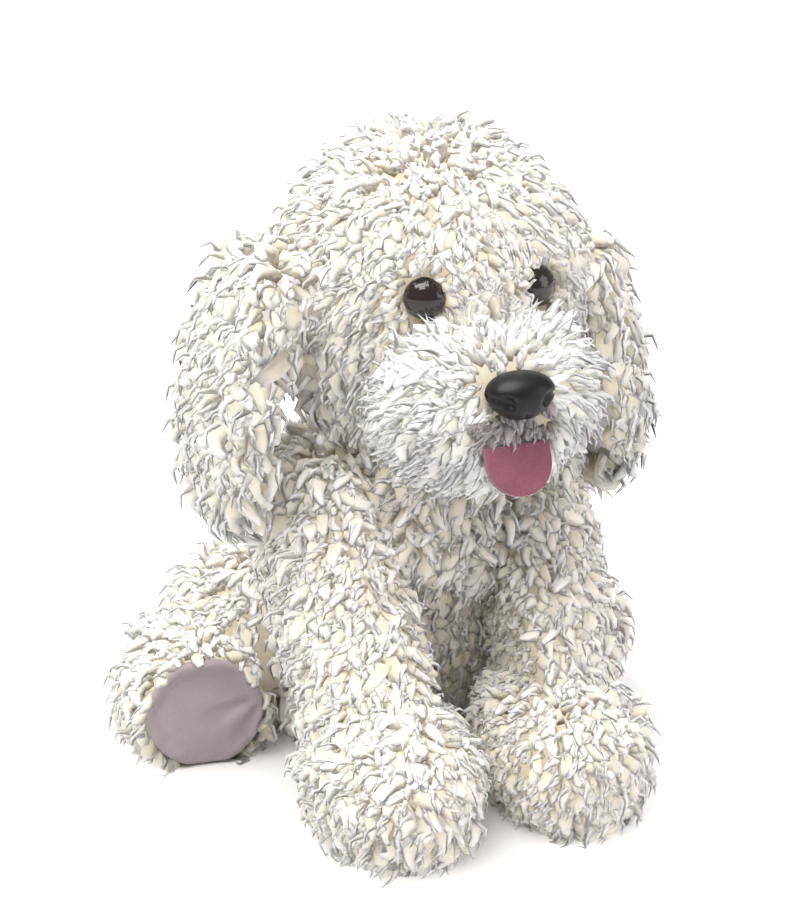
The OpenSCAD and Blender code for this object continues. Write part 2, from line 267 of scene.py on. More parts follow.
def lockColourGroup():
    # colour along a lock: darker at the root as painted shade deep between the locks, pale at the tip, a
    # little different from lock to lock
    tree, gi, go = groupTree("ShaderNodeTree", "lockColour", [
        ("Root", "NodeSocketColor", (0.5, 0.45, 0.33, 1)),
        ("Tip", "NodeSocketColor", (0.9, 0.88, 0.83, 1)),
        ("Spread", "NodeSocketFloat", 0.12),
        ("Patch Size", "NodeSocketFloat", 18.0),
    ], [("Colour", "NodeSocketColor"), ("Strand", "NodeSocketFloat")])
    uv = node(tree, "ShaderNodeUVMap", uv_map="lockUV")
    parts = node(tree, "ShaderNodeSeparateXYZ")
    wire(tree, uv.outputs["UV"], parts.inputs[0])
    along = mapRange(tree, parts.outputs["Y"], 0.05, 0.75)
    shade = node(tree, "ShaderNodeAttribute", attribute_name="lockShade")
    place = node(tree, "ShaderNodeTexCoord").outputs["Object"]
    patch = noise(tree, place, gi.outputs["Patch Size"], 3.0, 0.6)
    stretched = node(tree, "ShaderNodeMapping")
    wire(tree, uv.outputs["UV"], stretched.inputs["Vector"])
    stretched.inputs["Scale"].default_value = (13, 1.8, 1)
    moved = vectorMath(tree, "ADD", stretched.outputs["Vector"],
                       vectorMath(tree, "SCALE", shade.outputs["Vector"], scale=37.0))
    strand = noise(tree, moved, 1.0, 2.0, 0.6)
    body = mixColour(tree, along, gi.outputs["Root"], gi.outputs["Tip"])
    lift = floatMath(tree, "ADD", floatMath(tree, "MULTIPLY", shade.outputs["Fac"], 0.5),
                     floatMath(tree, "MULTIPLY", patch, 0.5))
    lift = floatMath(tree, "SUBTRACT", lift, 0.5)
    lift = floatMath(tree, "MULTIPLY", lift, gi.outputs["Spread"])
    lift = floatMath(tree, "ADD", lift, 1.0)
    varied = vectorMath(tree, "SCALE", body, scale=lift)
    streak = mapRange(tree, strand, 0.3, 0.7, 0.93, 1.03)
    wire(tree, vectorMath(tree, "SCALE", varied, scale=streak), go.inputs["Colour"])
    wire(tree, strand, go.inputs["Strand"])
    return tree


def napGroup():
    # short pile seen as a fine grain with soft patches that lie another way
    tree, gi, go = groupTree("ShaderNodeTree", "nap", [
        ("Pile", "NodeSocketColor", (0.7, 0.68, 0.74, 1)),
        ("Shadow", "NodeSocketColor", (0.5, 0.47, 0.52, 1)),
        ("Grain", "NodeSocketFloat", 1400.0),
        ("Patches", "NodeSocketFloat", 60.0),
        ("Contrast", "NodeSocketFloat", 0.5),
    ], [("Colour", "NodeSocketColor"), ("Height", "NodeSocketFloat")])
    place = node(tree, "ShaderNodeTexCoord").outputs["Object"]
    fine = noise(tree, place, gi.outputs["Grain"], 2.0, 0.7)
    broad = noise(tree, place, gi.outputs["Patches"], 3.0, 0.55)
    both = floatMath(tree, "ADD", floatMath(tree, "MULTIPLY", fine, 0.45),
                     floatMath(tree, "MULTIPLY", broad, 0.55))
    mask = mapRange(tree, both, 0.35, 0.62)
    mask = floatMath(tree, "MULTIPLY", mask, gi.outputs["Contrast"])
    wire(tree, mixColour(tree, mask, gi.outputs["Pile"], gi.outputs["Shadow"]), go.inputs["Colour"])
    wire(tree, fine, go.inputs["Height"])
    return tree


def softNormalGroup():
    # fine fibres scatter light so much that a lock is lit nearly as the skin under it is
    tree, gi, go = groupTree("ShaderNodeTree", "softNormal", [
        ("Share", "NodeSocketFloat", 0.7),
    ], [("Normal", "NodeSocketVector")])
    skin = node(tree, "ShaderNodeAttribute", attribute_name="skinNormal")
    turned = node(tree, "ShaderNodeVectorTransform", vector_type="VECTOR",
                  convert_from="OBJECT", convert_to="WORLD")
    wire(tree, skin.outputs["Vector"], turned.inputs[0])
    own = node(tree, "ShaderNodeNewGeometry").outputs["Normal"]
    near = vectorMath(tree, "SCALE", turned.outputs[0], scale=gi.outputs["Share"])
    far = vectorMath(tree, "SCALE", own, scale=floatMath(tree, "SUBTRACT", 1.0, gi.outputs["Share"]))
    wire(tree, vectorMath(tree, "NORMALIZE", vectorMath(tree, "ADD", near, far)), go.inputs["Normal"])
    return tree


lockColour = lockColourGroup()
softNormal = softNormalGroup()
nap = napGroup()


def newMaterial(name, **principled):
    mat = bpy.data.materials.new(name)
    mat.use_nodes = True
    shader = mat.node_tree.nodes["Principled BSDF"]
    for key, value in principled.items():
        shader.inputs[key].default_value = value
    return mat, mat.node_tree, shader


def addGroup(tree, group, **values):
    n = node(tree, "ShaderNodeGroup", node_tree=group)
    for key, value in values.items():
        n.inputs[key.replace("_", " ")].default_value = value
    return n


def addBump(tree, shader, height, strength, distance, normal=None):
    bump = node(tree, "ShaderNodeBump")
    setInputs(bump, Strength=strength, Distance=distance)
    wire(tree, height, bump.inputs["Height"])
    if normal:
        wire(tree, normal, bump.inputs["Normal"])
    wire(tree, bump.outputs["Normal"], shader.inputs["Normal"])


def pileMaterial(name, root, tip, spread=0.16):
    mat, tree, shader = newMaterial(name, **{
        "Roughness": 0.72, "Sheen Weight": 0.35, "Sheen Roughness": 0.5,
        "Subsurface Weight": 0.8, "Subsurface Radius": (1.0, 0.92, 0.8), "Subsurface Scale": 3 * mm,
        "Specular IOR Level": 0.3})
    g = addGroup(tree, lockColour, Root=root, Tip=tip, Spread=spread)
    wire(tree, g.outputs["Colour"], shader.inputs["Base Color"])
    soft = addGroup(tree, softNormal, Share=0.92)
    addBump(tree, shader, g.outputs["Strand"], 0.3, 0.4 * mm, soft.outputs["Normal"])
    return mat


def napMaterial(name, pile, shadow, grain=1400.0, patches=60.0, contrast=0.5, **extra):
    mat, tree, shader = newMaterial(name, **{
        "Roughness": 0.85, "Sheen Weight": 0.5, "Sheen Roughness": 0.4, **extra})
    g = addGroup(tree, nap, Pile=pile, Shadow=shadow, Grain=grain, Patches=patches, Contrast=contrast)
    wire(tree, g.outputs["Colour"], shader.inputs["Base Color"])
    addBump(tree, shader, g.outputs["Height"], 0.35, 0.3 * mm)
    return mat


# each pile's first colour is painted shade at its roots, deep between the locks; the second is its pale tips
bodyPile = pileMaterial("creamPile", (0.76, 0.68, 0.51, 1), (0.97, 0.94, 0.90, 1))
# the lip pile's grey is painted shade under the nose and muzzle
lipShadePile = pileMaterial("greyPile", (0.24, 0.21, 0.20, 1), (0.46, 0.42, 0.42, 1))
facePile = pileMaterial("whitePile", (0.80, 0.76, 0.66, 1), (0.98, 0.97, 0.95, 1))
# the cream backing cloth under the locks, darkened as painted shade deep between them
backing = napMaterial("backing", (0.66, 0.60, 0.48, 1), (0.52, 0.47, 0.36, 1), 900.0, 70.0, 0.6)
# the soles' lavender-grey velour, darkened to its look in shade: partly painted shade
velour = napMaterial("velour", (0.36, 0.31, 0.335, 1), (0.22, 0.19, 0.205, 1), 1500.0, 45.0, 0.45)
earLining = napMaterial("earLining", (0.66, 0.62, 0.64, 1), (0.46, 0.42, 0.44, 1), 1200.0, 60.0, 0.5)
# the tongue's pink felt, darkened to its look in the shade under the muzzle: partly painted shade
felt = napMaterial("pinkFelt", (0.26, 0.085, 0.125, 1), (0.16, 0.045, 0.07, 1), 1100.0, 120.0, 0.6)
ribbon = napMaterial("ribbon", (0.86, 0.86, 0.85, 1), (0.76, 0.76, 0.76, 1), 2500.0, 90.0, 0.3)
thread = napMaterial("thread", (0.80, 0.77, 0.68, 1), (0.60, 0.56, 0.46, 1), 2500.0, 200.0, 0.5)
blackThread = napMaterial("blackThread", (0.015, 0.013, 0.013, 1), (0.004, 0.004, 0.004, 1),
                          2500.0, 200.0, 0.5)
pouchCloth = napMaterial("pouchCloth", (0.75, 0.75, 0.72, 1), (0.6, 0.6, 0.57, 1), 1800.0, 90.0, 0.4)
washerPlastic = napMaterial("washerPlastic", (0.78, 0.77, 0.72, 1), (0.66, 0.65, 0.6, 1), 400.0, 60.0, 0.4,
                            **{"Roughness": 0.4, "Sheen Weight": 0.0})
print("materials ready")


# locks of pile
lockSettings = {
    "variants": 8,
    "seed": 11,
    "sides": 4,
    "rings": 5,
    "thickness": 0.42,      # of a lock's length
    "coil": 0.10,           # how far a lock winds round its middle line
    "wispShare": 0.5,       # a wisp's thickness beside its lock's
}


def addStrand(bm, uvLayer, rng, sides, rings, thickness, bend, coil, tipWidth, bluntness=1.0, start=0.0):
    # one tapered tube that rises along Z, winds round its middle line and curls over towards X
    phase = rng.uniform(0, 2 * math.pi)
    sway = rng.uniform(-0.35, 0.35)
    turns = rng.uniform(0.8, 1.3)
    place = np.zeros(3)
    centres = []
    steps = [1 - (1 - i / rings) ** bluntness for i in range(rings + 1)]
    for i, t in enumerate(steps):
        wind = coil * min(t * 3, 1.0)
        around = 2 * math.pi * turns * t + phase
        centres.append(place + wind * np.array([math.cos(around), math.sin(around), 0]))
        angle = bend * t ** 1.2 + start
        ahead = steps[min(i + 1, rings)] - t
        place = place + np.array([math.sin(angle), sway * t, math.cos(angle)]) * ahead
    loops = []
    for i, t in enumerate(steps[:-1]):
        tangent = unit(centres[i + 1] - centres[max(i - 1, 0)])
        side = unit(np.cross(tangent, (0.2, 1, 0.1)))
        other = np.cross(side, tangent)
        belly = 0.75 + 0.4 * math.sin(math.pi * min(t * 1.2, 1.0))
        radius = thickness / 2 * belly * (1 - (1 - tipWidth) * t ** 2.5)
        loops.append([bm.verts.new(centres[i] + radius * (math.cos(a) * side + math.sin(a) * other))
                      for a in np.arange(sides) * 2 * math.pi / sides])
    tip = bm.verts.new(centres[rings])
    rows = [(k, (k + 1) % sides) for k in range(sides)]
    for i in range(rings - 1):
        for k, n in rows:
            f = bm.faces.new((loops[i][k], loops[i][n], loops[i + 1][n], loops[i + 1][k]))
            for loop, uv in zip(f.loops, ((k, i), (k + 1, i), (k + 1, i + 1), (k, i + 1))):
                loop[uvLayer].uv = (uv[0] / sides, uv[1] / rings)
    for k, n in rows:
        f = bm.faces.new((loops[-1][k], loops[-1][n], tip))
        for loop, uv in zip(f.loops, ((k, rings - 1), (k + 1, rings - 1), (k + 0.5, rings))):
            loop[uvLayer].uv = (uv[0] / sides, uv[1] / rings)
    bm.faces.new(list(reversed(loops[0])))


def lockMesh(name, seed, bend, tipWidth, bluntness):
    rng = np.random.default_rng(seed)
    bm = bmesh.new()
    uvLayer = bm.loops.layers.uv.new("lockUV")
    thick, coil = lockSettings["thickness"], lockSettings["coil"]
    addStrand(bm, uvLayer, rng, lockSettings["sides"], lockSettings["rings"], thick * rng.uniform(0.85, 1.15),
              bend, coil, tipWidth, bluntness)
    addStrand(bm, uvLayer, rng, 3, 4, thick * lockSettings["wispShare"],
              bend * rng.uniform(0.4, 0.9), coil * 1.4,
              tipWidth * 0.5, start=rng.uniform(-0.5, 0.1))
    bmesh.ops.recalc_face_normals(bm, faces=bm.faces)
    mesh = bpy.data.meshes.new(name)
    bm.to_mesh(mesh)
    bm.free()
    smoothShade(mesh)
    return mesh


def lockCollection(name, bend, tipWidth, bluntness):
    collection = bpy.data.collections.new(name)
    bpy.context.scene.collection.children.link(collection)
    for i in range(lockSettings["variants"]):
        mesh = lockMesh(f"{name}{i}", lockSettings["seed"] + i, bend * (0.65 + 0.1 * i), tipWidth, bluntness)
        collection.objects.link(bpy.data.objects.new(f"{name}{i}", mesh))
    return collection


def pileTree():
    # grows locks on a skin from its comb, pileLength and pileKeep attributes
    tree, gi, go = groupTree("GeometryNodeTree", "growPile", [
        ("Skin", "NodeSocketGeometry", None),
        ("Locks", "NodeSocketCollection", None),
        ("Panel", "NodeSocketInt", 0),
        ("Spacing", "NodeSocketFloat", 2.6 * mm),
        ("Density", "NodeSocketFloat", 200000.0),
        ("Length", "NodeSocketFloat", 12 * mm),
        ("Plump", "NodeSocketFloat", 1.0),
        ("Lift", "NodeSocketFloat", 0.7),
        ("Lean", "NodeSocketFloat", 0.6),
        ("Swirl", "NodeSocketFloat", 0.5),
        ("Swirl Scale", "NodeSocketFloat", 60.0),
        ("Jitter", "NodeSocketFloat", 0.25),
        ("Spin", "NodeSocketFloat", 0.9),
        ("Sink", "NodeSocketFloat", 1.0 * mm),
        ("Floor", "NodeSocketFloat", 0.4 * mm),
        ("Seed", "NodeSocketInt", 1),
        ("Finish", "NodeSocketMaterial", None),
    ], [("Pile", "NodeSocketGeometry")])
    put = gi.outputs
    scatter = node(tree, "GeometryNodeDistributePointsOnFaces", distribute_method="POISSON")
    wire(tree, put["Skin"], scatter.inputs["Mesh"])
    wire(tree, put["Spacing"], scatter.inputs["Distance Min"])
    wire(tree, put["Density"], scatter.inputs["Density Max"])
    wire(tree, namedAttribute(tree, "pileKeep", "FLOAT"), scatter.inputs["Density Factor"])
    wire(tree, put["Seed"], scatter.inputs["Seed"])
    same = node(tree, "FunctionNodeCompare", data_type="INT", operation="EQUAL")
    wire(tree, namedAttribute(tree, "panel", "INT"), same.inputs[2])
    wire(tree, put["Panel"], same.inputs[3])
    part = node(tree, "GeometryNodeSeparateGeometry", domain="POINT")
    wire(tree, scatter.outputs["Points"], part.inputs["Geometry"])
    wire(tree, same.outputs["Result"], part.inputs["Selection"])

    comb = namedAttribute(tree, "comb", "FLOAT_VECTOR")
    place = node(tree, "GeometryNodeInputPosition").outputs[0]
    swirlNoise = node(tree, "ShaderNodeTexNoise", noise_dimensions="3D")
    wire(tree, place, swirlNoise.inputs["Vector"])
    wire(tree, put["Swirl Scale"], swirlNoise.inputs["Scale"])
    swirlNoise.inputs["Detail"].default_value = 1.0
    swirl = vectorMath(tree, "SUBTRACT", swirlNoise.outputs["Color"], (0.5, 0.5, 0.5))
    swirl = vectorMath(tree, "SCALE", swirl, scale=put["Swirl"])
    jitter = randomValue(tree, (-1, -1, -1), (1, 1, 1), put["Seed"], 5, "FLOAT_VECTOR")
    jitter = vectorMath(tree, "SCALE", jitter, scale=put["Jitter"])
    up = vectorMath(tree, "SCALE", scatter.outputs["Normal"], scale=put["Lift"])
    over = vectorMath(tree, "SCALE", comb, scale=put["Lean"])
    aim = vectorMath(tree, "ADD", vectorMath(tree, "ADD", up, over), vectorMath(tree, "ADD", swirl, jitter))

    stand = node(tree, "FunctionNodeAlignRotationToVector", axis="Z")
    wire(tree, aim, stand.inputs["Vector"])
    face = node(tree, "FunctionNodeAlignRotationToVector", axis="X", pivot_axis="Z")
    wire(tree, stand.outputs["Rotation"], face.inputs["Rotation"])
    wire(tree, vectorMath(tree, "ADD", comb, swirl), face.inputs["Vector"])
    spin = node(tree, "FunctionNodeAxisAngleToRotation")
    spin.inputs["Axis"].default_value = (0, 0, 1)
    turn = randomValue(tree, -1.0, 1.0, put["Seed"], 9)
    wire(tree, floatMath(tree, "MULTIPLY", turn, put["Spin"]), spin.inputs["Angle"])
    spun = node(tree, "FunctionNodeRotateRotation", rotation_space="LOCAL")
    wire(tree, face.outputs["Rotation"], spun.inputs["Rotation"])
    wire(tree, spin.outputs["Rotation"], spun.inputs["Rotate By"])

    long = floatMath(tree, "MULTIPLY", put["Length"], randomValue(tree, 0.7, 1.25, put["Seed"], 33))
    long = floatMath(tree, "MULTIPLY", long, namedAttribute(tree, "pileLength", "FLOAT"))
    wide = floatMath(tree, "MULTIPLY", floatMath(tree, "MULTIPLY", long, put["Plump"]),
                     randomValue(tree, 0.85, 1.2, put["Seed"], 21))
    size = node(tree, "ShaderNodeCombineXYZ")
    wire(tree, wide, size.inputs[0])
    wire(tree, wide, size.inputs[1])
    wire(tree, long, size.inputs[2])

    sunk = node(tree, "GeometryNodeSetPosition")
    wire(tree, part.outputs["Selection"], sunk.inputs["Geometry"])
    down = floatMath(tree, "MULTIPLY", put["Sink"], -1.0)
    wire(tree, vectorMath(tree, "SCALE", scatter.outputs["Normal"], scale=down), sunk.inputs["Offset"])
    facing = node(tree, "GeometryNodeStoreNamedAttribute", data_type="FLOAT_VECTOR", domain="POINT")
    wire(tree, sunk.outputs["Geometry"], facing.inputs["Geometry"])
    facing.inputs["Name"].default_value = "skinNormal"
    wire(tree, scatter.outputs["Normal"], facing.inputs["Value"])
    locks = node(tree, "GeometryNodeCollectionInfo", transform_space="ORIGINAL")
    wire(tree, put["Locks"], locks.inputs["Collection"])
    locks.inputs["Separate Children"].default_value = True
    locks.inputs["Reset Children"].default_value = True
    plant = node(tree, "GeometryNodeInstanceOnPoints")
    wire(tree, facing.outputs["Geometry"], plant.inputs["Points"])
    wire(tree, locks.outputs["Instances"], plant.inputs["Instance"])
    plant.inputs["Pick Instance"].default_value = True
    pick = randomValue(tree, 0, lockSettings["variants"] - 1, put["Seed"], 45, "INT")
    wire(tree, pick, plant.inputs["Instance Index"])
    wire(tree, spun.outputs["Rotation"], plant.inputs["Rotation"])
    wire(tree, size.outputs[0], plant.inputs["Scale"])
    tag = node(tree, "GeometryNodeStoreNamedAttribute", data_type="FLOAT", domain="INSTANCE")
    wire(tree, plant.outputs["Instances"], tag.inputs["Geometry"])
    tag.inputs["Name"].default_value = "lockShade"
    wire(tree, randomValue(tree, 0.0, 1.0, put["Seed"], 57), tag.inputs["Value"])
    real = node(tree, "GeometryNodeRealizeInstances")
    wire(tree, tag.outputs["Geometry"], real.inputs["Geometry"])

    rest = node(tree, "GeometryNodeSetPosition")
    wire(tree, real.outputs["Geometry"], rest.inputs["Geometry"])
    here = node(tree, "ShaderNodeSeparateXYZ")
    wire(tree, node(tree, "GeometryNodeInputPosition").outputs[0], here.inputs[0])
    there = node(tree, "ShaderNodeCombineXYZ")
    wire(tree, here.outputs[0], there.inputs[0])
    wire(tree, here.outputs[1], there.inputs[1])
    wire(tree, floatMath(tree, "MAXIMUM", here.outputs[2], put["Floor"]), there.inputs[2])
    wire(tree, there.outputs[0], rest.inputs["Position"])
    finish = node(tree, "GeometryNodeSetMaterial")
    wire(tree, rest.outputs["Geometry"], finish.inputs["Geometry"])
    wire(tree, put["Finish"], finish.inputs["Material"])
    wire(tree, finish.outputs["Geometry"], go.inputs["Pile"])
    return tree


growPile = pileTree()
roundLocks = lockCollection("roundLock", 2.3, 0.5, 1.7)
pointedLocks = lockCollection("pointedLock", 1.6, 0.25, 1.15)


def putAttribute(mesh, name, kind, domain, values):
    attribute = mesh.attributes.new(name, kind, domain)
    key = "vector" if kind == "FLOAT_VECTOR" else "value"
    attribute.data.foreach_set(key, np.asarray(values).ravel())


def dressSkin(skin, combAt, lengthAt, keepAt, panelAt):
    mesh = skin.data
    co, n = points(mesh), normals(mesh)
    comb = combAt(co, n)
    comb = comb - n * np.sum(comb * n, axis=1, keepdims=True)    # along the skin
    putAttribute(mesh, "comb", "FLOAT_VECTOR", "POINT", comb.astype(np.float32))
    putAttribute(mesh, "pileLength", "FLOAT", "POINT", lengthAt(co, n).astype(np.float32))
    putAttribute(mesh, "pileKeep", "FLOAT", "POINT", keepAt(co, n).astype(np.float32))
    centres = np.array([p.center for p in mesh.polygons])
    facing = np.array([p.normal for p in mesh.polygons])
    putAttribute(mesh, "panel", "INT", "FACE", panelAt(centres, facing).astype(np.int32))


def growOn(skin, name, body, panel, slotName, locks, finish, seed, **sizes):
    obj = addObject(name, skin.data)
    mod = obj.modifiers.new("pile", "NODES")
    mod.node_group = growPile
    values = {"Locks": locks, "Panel": panel, "Finish": finish, "Seed": seed, **sizes}
    for item in growPile.interface.items_tree:
        if item.in_out == "INPUT" and item.name in values:
            mod[item.identifier] = values[item.name]
    applyModifiers(obj)
    obj.visible_shadow = False      # light passes between fine fibres; the skin under them casts the shadow
    finishPiece(obj, body)
    print(name, len(obj.data.polygons), "faces")
    return obj


down = np.array([0.0, 0.0, -1.0])


def fallDown(co, n):
    return np.tile(down, (len(co), 1))


def fallForward(co, n):
    return np.tile(unit(np.array([0.0, -0.6, -1.0])), (len(co), 1))


def everywhere(value=1.0):
    return lambda co, n: np.full(len(co), value)


def offTheFloor(co, n):
    # no pile where the skin lies on the floor
    return np.where((co[:, 2] < 3.5 * mm) & (n[:, 2] < -0.6), 0.0, 1.0)


def clothe(skin, body, standsFor, cloth):
    skin.data.materials.clear()
    skin.data.materials.append(cloth)
    finishPiece(skin, body, standsFor)
    return skin


# torso
torso = {"spacing": 3.1 * mm, "length": 14.5 * mm, "plump": 0.92, "bellyHalf": 18 * mm}
torsoNodes = ["torso_left_panel", "torso_right_panel", "belly_panel", "seat_panel", "torso_stuffing"]
torsoSkin = stuffedForm("torso_skin", torsoNodes)


def torsoPanel(co, n):
    belly = (np.abs(co[:, 0]) < torso["bellyHalf"]) & (co[:, 1] < 0)
    return np.where(belly, 2, (co[:, 0] > 0).astype(int))


dressSkin(torsoSkin, fallDown, everywhere(), offTheFloor, torsoPanel)
for panel, name in enumerate(("torso_right_pile", "torso_left_pile", "belly_pile")):
    growOn(torsoSkin, name, "torso", panel, "plush", roundLocks, bodyPile, 3,
           Spacing=torso["spacing"], Length=torso["length"], Plump=torso["plump"])
clothe(torsoSkin, "torso", torsoNodes, backing)
print("torso done")


# head
headNodes = ["head_left_panel", "head_right_panel", "head_gusset", "throat_panel", "muzzle_panel",
             "chin_panel", "head_stuffing"]
head = {"spacing": 2.5 * mm, "length": 14.0 * mm, "plump": 0.78, "gussetHalf": 17 * mm,
        "muzzleLength": 15.0 * mm, "muzzlePlump": 0.72, "muzzleSpacing": 2.2 * mm,
        "eyeBare": 6.4 * mm, "noseBare": 7.0 * mm,
        "lipHalf": (15 * mm, 14 * mm, 10 * mm), "lipLength": 8.5 * mm, "lipSpacing": 1.6 * mm,
        "cheekPlace": (33 * mm, 28 * mm), "cheekBack": 12 * mm, "cheekReach": 38 * mm, "cheekExtra": 1.1,
        "muzzleHalf": (40 * mm, 29 * mm, 28 * mm), "noseDepth": 13 * mm, "noseReach": 24 * mm,
        "noseShorter": 0.35, "eyeComb": 20 * mm, "eyeReach": 18 * mm, "eyeShorter": 0.45}
headSkin = stuffedForm("head_skin", headNodes)
eyes = [middle("right_eye"), middle("left_eye")]
noseLow, noseHigh = (np.array(c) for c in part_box("nose"))
noseMiddle = np.array([0, noseLow[1] + head["noseDepth"], (noseLow[2] + noseHigh[2]) / 2])
lipMiddle = middle("mouth_stitch")
muzzleLow, muzzleHigh = (np.array(c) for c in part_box("muzzle_panel"))
chinLow, chinHigh = (np.array(c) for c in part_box("chin_panel"))
muzzleMiddle = (np.minimum(muzzleLow, chinLow) + np.maximum(muzzleHigh, chinHigh)) / 2


def nearness(co, place, radius):
    return np.clip(1 - np.linalg.norm(co - place, axis=1) / radius, 0, 1)


def onMuzzle(co):
    q = (co - muzzleMiddle) / np.array(head["muzzleHalf"])
    return np.sum(q * q, axis=1) < 1.0


def onLip(co):
    # short pile from the nose down to the tongue, painted grey as shade under the nose and muzzle
    q = (co - lipMiddle) / np.array(head["lipHalf"])
    return np.sum(q * q, axis=1) < 1.0


def headComb(co, n):
    comb = np.tile(down, (len(co), 1)).astype(float)
    away = unit(co - noseMiddle)
    share = np.where(onMuzzle(co), 1.0, 0.0)[:, None]
    comb = comb * (1 - 0.55 * share) + away * 0.9 * share
    for eye in eyes:
        close = nearness(co, eye, head["eyeComb"])[:, None]
        comb = comb * (1 - close) + unit(co - eye) * 1.3 * close
    return comb


def headLength(co, n):
    length = np.ones(len(co))
    for eye in eyes:
        length *= 1 - head["eyeShorter"] * nearness(co, eye, head["eyeReach"])
    length *= 1 - head["noseShorter"] * nearness(co, noseMiddle, head["noseReach"])
    side, fall = head["cheekPlace"]
    headMiddle = (points(headSkin.data).min(axis=0) + points(headSkin.data).max(axis=0)) / 2
    for sign in (-1, 1):
        cheek = np.array([side * sign, headMiddle[1] + head["cheekBack"], headMiddle[2] - fall])
        length *= 1 + head["cheekExtra"] * nearness(co, cheek, head["cheekReach"])
    return np.where(onLip(co), 1.0, length)


def headKeep(co, n):
    keep = np.ones(len(co))
    for eye in eyes:
        keep[np.linalg.norm(co - eye, axis=1) < head["eyeBare"]] = 0
    keep[np.linalg.norm((co - noseMiddle) / np.array([1.25, 1, 0.85]), axis=1) < head["noseBare"]] = 0
    return keep


def headPanel(co, n):
    panel = np.where(np.abs(co[:, 0]) < head["gussetHalf"], 2, (co[:, 0] > 0).astype(int))
    panel = np.where(onMuzzle(co), 3, panel)
    return np.where(onLip(co), 4, panel)


dressSkin(headSkin, headComb, headLength, headKeep, headPanel)
for panel, name in enumerate(("head_right_pile", "head_left_pile", "head_gusset_pile")):
    growOn(headSkin, name, "head", panel, "plush", roundLocks, bodyPile, 7,
           Spacing=head["spacing"], Length=head["length"], Plump=head["plump"])
growOn(headSkin, "muzzle_pile", "head", 3, "face_plush", pointedLocks, facePile, 8,
       Spacing=head["muzzleSpacing"], Length=head["muzzleLength"], Plump=head["muzzlePlump"],
       Lift=0.75, Lean=0.8)
# painted shade: the lip pile is grey for the shade under the nose and muzzle
growOn(headSkin, "lip_pile", "head", 4, "face_plush", pointedLocks, lipShadePile, 12,
       Spacing=head["lipSpacing"], Length=head["lipLength"], Plump=0.9, Lift=0.95, Lean=0.8)
clothe(headSkin, "head", headNodes, backing)
print("head done")


# ears
ear = {"spacing": 2.8 * mm, "length": 17.5 * mm, "plump": 0.8}
for side, sign in (("right", -1), ("left", 1)):
    earNodes = [f"{side}_ear_cover", f"{side}_ear_lining"]
    skin = stuffedForm(f"{side}_ear_skin", earNodes, roundings=14)

    def earPanel(co, n, sign=sign):
        return (n[:, 0] * sign < -0.8).astype(int)      # 1 is the lining, which faces the head

    dressSkin(skin, fallForward, everywhere(), everywhere(), earPanel)
    growOn(skin, f"{side}_ear_pile", f"{side}_ear", 0, "plush", roundLocks, bodyPile, 13 + sign,
           Spacing=ear["spacing"], Length=ear["length"], Plump=ear["plump"], Lift=0.75, Lean=0.75)
    clothe(skin, f"{side}_ear", earNodes, earLining)
print("ears done")


# legs
def keepAbove(skin, floor):
    co = points(skin.data)
    co[:, 2] = np.maximum(co[:, 2], floor)
    skin.data.vertices.foreach_set("co", co.ravel())
    skin.data.update()


leg = {"spacing": 2.9 * mm, "length": 13.5 * mm, "plump": 0.92, "innerLength": 0.55,
       "pressed": 0.5}      # share of the length left where a foot rests on the floor
for side, sign in (("right", -1), ("left", 1)):
    for end, halves in (("front", ("outer", "inner")), ("hind", ("upper", "lower"))):
        body = f"{end}_{side}_leg"
        legNodes = [f"{end}_{side}_{half}_panel" for half in halves] + [f"{end}_{side}_stuffing"]
        sole = f"{end}_{side}_sole"
        skin = stuffedForm(f"{end}_{side}_skin", legNodes + [sole])
        soleHigh = np.array(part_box(sole)[1])
        if end == "front":
            keepAbove(skin, soleHigh[2] - 0.4 * mm)     # the sole stays outermost under the paw
        split = middle(f"{end}_{side}_stuffing")

        def legKeep(co, n, end=end, high=soleHigh):
            if end == "front":
                return offTheFloor(co, n)
            return np.where((co[:, 1] < high[1] + 1 * mm) & (n[:, 1] < -0.7), 0.0, 1.0)

        def legPanel(co, n, end=end, split=split, sign=sign):
            return ((co[:, 0] - split[0]) * sign < 0).astype(int) if end == "front" else \
                (co[:, 2] < split[2]).astype(int)

        def legLength(co, n, end=end, sign=sign):
            inwards = np.clip(-n[:, 0] * sign, 0, 1) if end == "front" else 0 * n[:, 0]
            pressed = np.where(offTheFloor(co, n) > 0, 1, leg["pressed"])
            return (1 - (1 - leg["innerLength"]) * inwards) * pressed

        dressSkin(skin, fallDown, legLength, legKeep, legPanel)
        for panel, half in enumerate(halves):
            growOn(skin, f"{end}_{side}_{half}_pile", body, panel, "plush", roundLocks, bodyPile, 20 + sign,
                   Spacing=leg["spacing"], Length=leg["length"], Plump=leg["plump"])
        clothe(skin, body, legNodes, backing)
        cadNodes[sole].data.materials.clear()
        cadNodes[sole].data.materials.append(velour)
print("legs done")


# tail
tail = {"voxel": 1.5 * mm, "spacing": 2.8 * mm, "length": 13 * mm, "plump": 1.0}
tailNodes = ["tail_cover", "tail_stuffing"]
tailSkin = stuffedForm("tail_skin", tailNodes, voxel=tail["voxel"])


def tailComb(co, n):
    return np.tile(np.array([0.0, 0.8, 0.2]), (len(co), 1))


dressSkin(tailSkin, tailComb, everywhere(), everywhere(), lambda co, n: np.zeros(len(co)))
growOn(tailSkin, "tail_pile", "tail", 0, "plush", roundLocks, bodyPile, 31,
       Spacing=tail["spacing"], Length=tail["length"], Plump=tail["plump"])
clothe(tailSkin, "tail", tailNodes, backing)

for collection in (roundLocks, pointedLocks):
    for obj in list(collection.objects):
        bpy.data.objects.remove(obj)
    bpy.data.collections.remove(collection)


# hind soles: cloth pads, fuller than the flat cut
pad = {
    "rings": 13,
    "segments": 44,
    "crown": 3.0 * mm,      # rise before the filling pushes
    "back": 1.6 * mm,
    "slack": 0.10,
    "pressure": 2.2,
    "frames": 18,
    "mostMove": 5.0 * mm,
    "mostSag": 0.3 * mm,
    "foldDepth": 1.1 * mm,
    "folds": 8.5,
}


